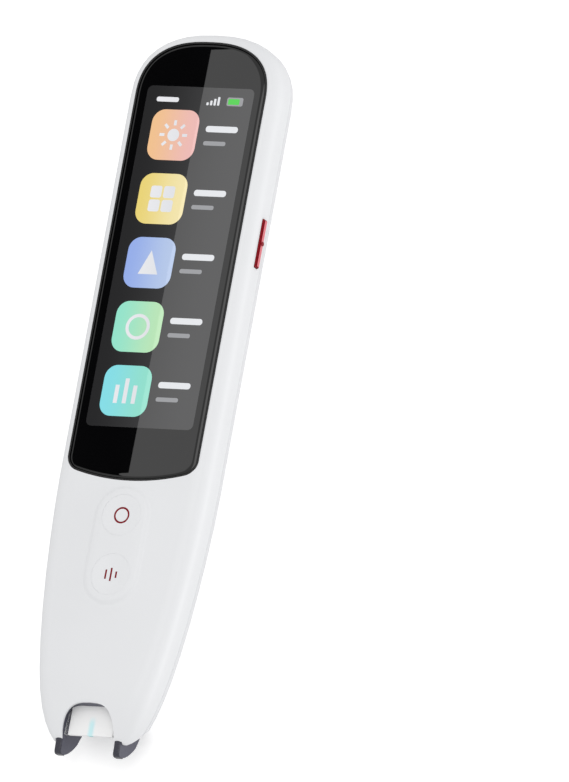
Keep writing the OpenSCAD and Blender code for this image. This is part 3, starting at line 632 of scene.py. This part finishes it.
def slab(name, outline, level, material):
    """Closed thin slab on the glass. outline is a list of (station, y)."""
    low, high = FACE_Z + SLAB * (level - 1), FACE_Z + SLAB * level
    count = len(outline)
    area = sum(outline[i - 1][0] * outline[i][1] - outline[i][0] * outline[i - 1][1]
               for i in range(count))
    if area < 0:
        outline = outline[::-1]
    points = [place(s, y, low) for s, y in outline] + [place(s, y, high) for s, y in outline]
    faces = [tuple(range(count - 1, -1, -1)), tuple(range(count, 2 * count))]
    for i in range(count):
        j = (i + 1) % count
        faces.append((i, j, count + j, count + i))
    mesh = bpy.data.meshes.new(name)
    mesh.from_pydata(points, [], faces)
    mesh.materials.append(material)
    piece = bpy.data.objects.new(name, mesh)
    bpy.context.scene.collection.objects.link(piece)
    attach(piece, "housing")


def round_box(low, high, y0, y1, radius):
    """Outline of a rectangle with round corners."""
    corners = [(high - radius, y1 - radius, 0), (low + radius, y1 - radius, 90),
               (low + radius, y0 + radius, 180), (high - radius, y0 + radius, 270)]
    outline = []
    for x, y, start in corners:
        for i in range(BOX_STEPS + 1):
            turn = math.radians(start + 90 * i / BOX_STEPS)
            outline.append((x + radius * math.cos(turn), y + radius * math.sin(turn)))
    return outline


def bar(x0, y0, x1, y1, width):
    """Outline of a straight stroke between two points."""
    along = Vector((x1 - x0, y1 - y0)).normalized() * width / 2
    side = Vector((-along.y, along.x))
    return [(x0 + side.x, y0 + side.y), (x0 - side.x, y0 - side.y),
            (x1 - side.x, y1 - side.y), (x1 + side.x, y1 + side.y)]


PAINTS = {
    "aqua": screen_paint("tile_aqua", linear(150, 226, 206), linear(136, 224, 234)),
    "mint": screen_paint("tile_mint", linear(190, 232, 186), linear(150, 230, 206)),
    "blue": screen_paint("tile_blue", linear(186, 204, 236), linear(152, 176, 236)),
    "yellow": screen_paint("tile_yellow", linear(246, 232, 178), linear(236, 214, 122)),
    "orange": screen_paint("tile_orange", linear(240, 190, 186), linear(244, 196, 146)),
    "ink": screen_paint("screen_ink", linear(226, 228, 232), linear(238, 238, 242)),
    "grey": screen_paint("screen_grey", linear(150, 151, 155), linear(164, 165, 170)),
    "green": screen_paint("screen_green", linear(70, 206, 66), linear(96, 216, 84)),
}

slab("screen_area", round_box(SCREEN_LOW, SCREEN_HIGH, -SCREEN_HALF, SCREEN_HALF, SCREEN_R), GROUND,
     screen_paint("screen_ground", linear(72, 72, 73), linear(42, 42, 43), GROUND_SHADE))


def bars_motif(x, y):
    """Three strokes, the middle one longer."""
    reach, pitch, shorter, width = 2.6, 2.0, 1.4, 0.9
    return [bar(x - reach, y + pitch * row, x + reach - shorter * abs(row), y + pitch * row, width)
            for row in (-1, 0, 1)]


def ring_motif(x, y):
    """A ring, in short pieces."""
    outer_r, inner_r, steps = 2.7, 2.0, 28
    pieces = []
    for i in range(steps):
        a, b = (2 * math.pi * k / steps for k in (i, i + 1))
        pieces.append([(x + r * math.cos(turn), y + r * math.sin(turn))
                       for r, turn in ((outer_r, a), (outer_r, b), (inner_r, b), (inner_r, a))])
    return pieces


def triangle_motif(x, y):
    """A triangle that points to the top end."""
    base, point, half = 2.4, 2.6, 2.2
    return [[(x - base, y + half), (x - base, y - half), (x + point, y)]]


def squares_motif(x, y):
    """Four round squares, two by two."""
    start, side, pitch, radius = 2.7, 2.5, 2.9, 0.5
    return [round_box(low, low + side, y0, y0 + side, radius)
            for low in (x - start, x - start + pitch) for y0 in (y - start, y - start + pitch)]


def sun_motif(x, y):
    """A disc with eight rays."""
    disc_r, disc_steps, ray_from, ray_to, width = 1.3, 40, 2.0, 3.1, 0.6
    rays = [bar(x + ray_from * math.cos(turn), y + ray_from * math.sin(turn),
                x + ray_to * math.cos(turn), y + ray_to * math.sin(turn), width)
            for turn in (math.radians(45 * k) for k in range(8))]
    return [circle(x, y, disc_r, disc_steps)] + rays


# Tiles from the lower end of the screen, and the two bars beside each: where a bar starts and ends
# along the pen from the tile's middle, how long it is across the pen, and its round ends
TILES = (("aqua", bars_motif), ("mint", ring_motif), ("blue", triangle_motif),
         ("yellow", squares_motif), ("orange", sun_motif))
HALF_TILE, TILE_R = 5.3, 2.7
FIRST_TILE, TILE_PITCH, TILE_Y = 74.4, 13.4, 4.4
LABEL_Y = -2.6
TILE_BARS = (("label", 0.9, 2.2, 7.2, 0.6, "ink"), ("note", -1.9, -1.0, 5.0, 0.4, "grey"))

for index, (paint, motif) in enumerate(TILES):
    x = FIRST_TILE + TILE_PITCH * index
    tile = round_box(x - HALF_TILE, x + HALF_TILE, TILE_Y - HALF_TILE, TILE_Y + HALF_TILE, TILE_R)
    slab(f"tile_{index}", tile, FIRST, PAINTS[paint])
    for part, outline in enumerate(motif(x, TILE_Y)):
        slab(f"motif_{index}_{part}", outline, SECOND, PAINTS["ink"])
    for bar_name, low, high, length, radius, ink in TILE_BARS:
        tile_bar = round_box(x + low, x + high, LABEL_Y - length, LABEL_Y, radius)
        slab(f"{bar_name}_{index}", tile_bar, FIRST, PAINTS[ink])

# Status row at the screen's upper end: half length along the pen, from and to across it, round
# ends, level and paint of each piece, and then four signal bars that grow towards the battery
STATUS_X = 135.4
STATUS_PIECES = (("status_bar", 0.5, 4.6, 9.6, 0.45, FIRST, "ink"),
                 ("battery_shell", 0.9, -9.8, -6.2, 0.4, FIRST, "grey"),
                 ("battery_level", 0.6, -9.0, -6.5, 0.2, SECOND, "green"))
SIGNAL_LOW = STATUS_X - 0.9
SIGNAL_Y, SIGNAL_PITCH, SIGNAL_WIDTH, SIGNAL_R = -2.2, 0.8, 0.5, 0.15
SIGNAL_LENGTHS = (0.6, 1.0, 1.4, 1.8)

for status_name, half, y0, y1, radius, level, paint in STATUS_PIECES:
    slab(status_name, round_box(STATUS_X - half, STATUS_X + half, y0, y1, radius), level, PAINTS[paint])
for index, length in enumerate(SIGNAL_LENGTHS):
    y = SIGNAL_Y - SIGNAL_PITCH * index
    signal = round_box(SIGNAL_LOW, SIGNAL_LOW + length, y, y + SIGNAL_WIDTH, SIGNAL_R)
    slab(f"signal_{index}", signal, FIRST, PAINTS["ink"])

# --------------------------------------------------------------------------------------------
# Stage, light and camera
# --------------------------------------------------------------------------------------------


def plane(name, centre, size_x, size_y, material):
    """Flat rectangle of the stage, in metres."""
    half_x, half_y = size_x / 2, size_y / 2
    corners = [(-half_x, -half_y), (half_x, -half_y), (half_x, half_y), (-half_x, half_y)]
    mesh = bpy.data.meshes.new(name)
    mesh.from_pydata([Vector(centre) + Vector((x, y, 0)) for x, y in corners], [], [(0, 1, 2, 3)])
    mesh.materials.append(material)
    piece = bpy.data.objects.new(name, mesh)
    bpy.context.scene.collection.objects.link(piece)
    return piece


def blank_material(name):
    """Node material with no shader: the material, its nodes, its links and its output."""
    material = bpy.data.materials.new(name)
    material.use_nodes = True
    nodes, links = material.node_tree.nodes, material.node_tree.links
    nodes.clear()
    return material, nodes, links, nodes.new("ShaderNodeOutputMaterial")


def floor_material(albedo, lift):
    """Pale floor that turns white to the camera but keeps shadows; seen from below it is clear."""
    material, nodes, links, out = blank_material("floor")
    diffuse = nodes.new("ShaderNodeBsdfDiffuse")
    diffuse.inputs["Color"].default_value = (albedo, albedo, albedo, 1)
    glow = nodes.new("ShaderNodeEmission")
    path = nodes.new("ShaderNodeLightPath")
    seen = nodes.new("ShaderNodeMath")
    seen.operation = "MULTIPLY"
    seen.inputs[1].default_value = lift
    links.new(path.outputs["Is Camera Ray"], seen.inputs[0])
    links.new(seen.outputs[0], glow.inputs["Strength"])
    both = nodes.new("ShaderNodeAddShader")
    links.new(diffuse.outputs[0], both.inputs[0])
    links.new(glow.outputs[0], both.inputs[1])
    clear = nodes.new("ShaderNodeBsdfTransparent")
    side = nodes.new("ShaderNodeNewGeometry")
    choose = nodes.new("ShaderNodeMixShader")
    links.new(side.outputs["Backfacing"], choose.inputs[0])
    links.new(both.outputs[0], choose.inputs[1])
    links.new(clear.outputs[0], choose.inputs[2])
    links.new(choose.outputs[0], out.inputs["Surface"])
    return material


def glow_material(name, strength):
    """Even glow, or plain black at strength 0."""
    material, nodes, links, out = blank_material(name)
    glow = nodes.new("ShaderNodeEmission")
    glow.inputs["Strength"].default_value = strength
    links.new(glow.outputs[0], out.inputs["Surface"])
    return material


# Floor's side in metres, the share of light that it returns, and its glow to the camera
FLOOR_SIZE, FLOOR_ALBEDO, FLOOR_LIFT = 6.0, 0.8, 0.42
floor = plane("floor", (0, 0, 0), FLOOR_SIZE, FLOOR_SIZE, floor_material(FLOOR_ALBEDO, FLOOR_LIFT))
# The back and the sides of the pen take their light through the floor, as if the pen were lifted
floor.visible_diffuse = False
floor.visible_shadow = False

# Two cards that only reflections see, white and black, in metres. The glass mirrors the line where
# they meet. Seen from the camera, that line runs along the glass at EDGE_SEEN from its middle.
EDGE_SEEN = 3.7 * MM
# Tangent of the view's turn about the pen's length: how far the mirrored sight line runs as it climbs
MIRROR_SLOPE = 0.536
CARD_Z = 0.30
CARD_EDGE = EDGE_SEEN + MIRROR_SLOPE * (CARD_Z - FACE_Z * MM)
CARD_MIDDLE, CARD_LONG = 0.1172, 0.34
# Turn of each card, in radians, which slants the line a little
CARD_TURN = -0.0106
# Name, strength, width, and the side of the line on which the card lies
CARDS = (("white_card", 1.55, 0.05, -1), ("black_card", 0.0, 0.2, 1))
for card_name, strength, wide, side in CARDS:
    card = plane(card_name, (CARD_MIDDLE, CARD_EDGE + side * wide / 2, CARD_Z),
                 CARD_LONG, wide, glow_material(card_name, strength))
    card.rotation_euler.z = CARD_TURN
    card.visible_camera = False
    card.visible_diffuse = False
    card.visible_transmission = False
    card.visible_shadow = False
    card.visible_volume_scatter = False


def area_light(name, location, size, power):
    """Square lamp that faces the pen's middle. Place and size are in metres, power in watts."""
    data = bpy.data.lights.new(name, "AREA")
    data.shape = "SQUARE"
    data.size = size
    data.energy = power
    light = bpy.data.objects.new(name, data)
    light.location = location
    light.rotation_euler = (-Vector(location)).to_track_quat("-Z", "Y").to_euler()
    bpy.context.scene.collection.objects.link(light)


area_light("side_light", (0.1, -1.33, -0.72), size=0.8, power=5.6)
area_light("top_light", (0.2, -0.5, 1.7), size=1.2, power=6.7)

world = bpy.data.worlds.new("studio")
bpy.context.scene.world = world
world.use_nodes = True
world_nodes, world_links = world.node_tree.nodes, world.node_tree.links
world_nodes.clear()
world_out = world_nodes.new("ShaderNodeOutputWorld")
white = world_nodes.new("ShaderNodeBackground")
white.inputs["Strength"].default_value = 1.0
world_links.new(white.outputs[0], world_out.inputs["Surface"])

# The photograph's view: turned about the pen's length, leaned back, then rolled in the picture
TURN, LEAN, ROLL = math.radians(28.19), math.radians(14.53), math.radians(10.41)
# Station at the foot of the screen, and how far the picture's centre lies from it in the picture
AIM_STATION, AIM_RIGHT, AIM_UP = 56.3, 30.8, 17.4
# Metres from the pen, and the lens in millimetres for each of them. A lens much over 928 puts the
# views round the object past their own clipping distance.
CAMERA_AWAY = 4.0
LENS_PER_METRE = 232.0
SENSOR_WIDTH = 36.0
CLIP_END = 100.0

back = Vector((-math.sin(LEAN), -math.cos(LEAN) * math.sin(TURN), math.cos(LEAN) * math.cos(TURN)))
plain_right = Vector((1, 0, 0)).cross(back).normalized()
plain_up = back.cross(plain_right)
right = plain_right * math.cos(ROLL) + plain_up * math.sin(ROLL)
up = back.cross(right)
aim = place(AIM_STATION, 0, FACE_Z) + (right * AIM_RIGHT + up * AIM_UP) * MM

camera_data = bpy.data.cameras.new("camera")
camera_data.lens = LENS_PER_METRE * CAMERA_AWAY
camera_data.sensor_width = SENSOR_WIDTH
camera_data.clip_end = CLIP_END
camera = bpy.data.objects.new("camera", camera_data)
facing = Matrix((right, up, back)).transposed().to_4x4()
camera.matrix_world = Matrix.Translation(aim + back * CAMERA_AWAY) @ facing
bpy.context.scene.collection.objects.link(camera)
bpy.context.scene.camera = camera
bpy.context.scene.view_settings.view_transform = "Standard"
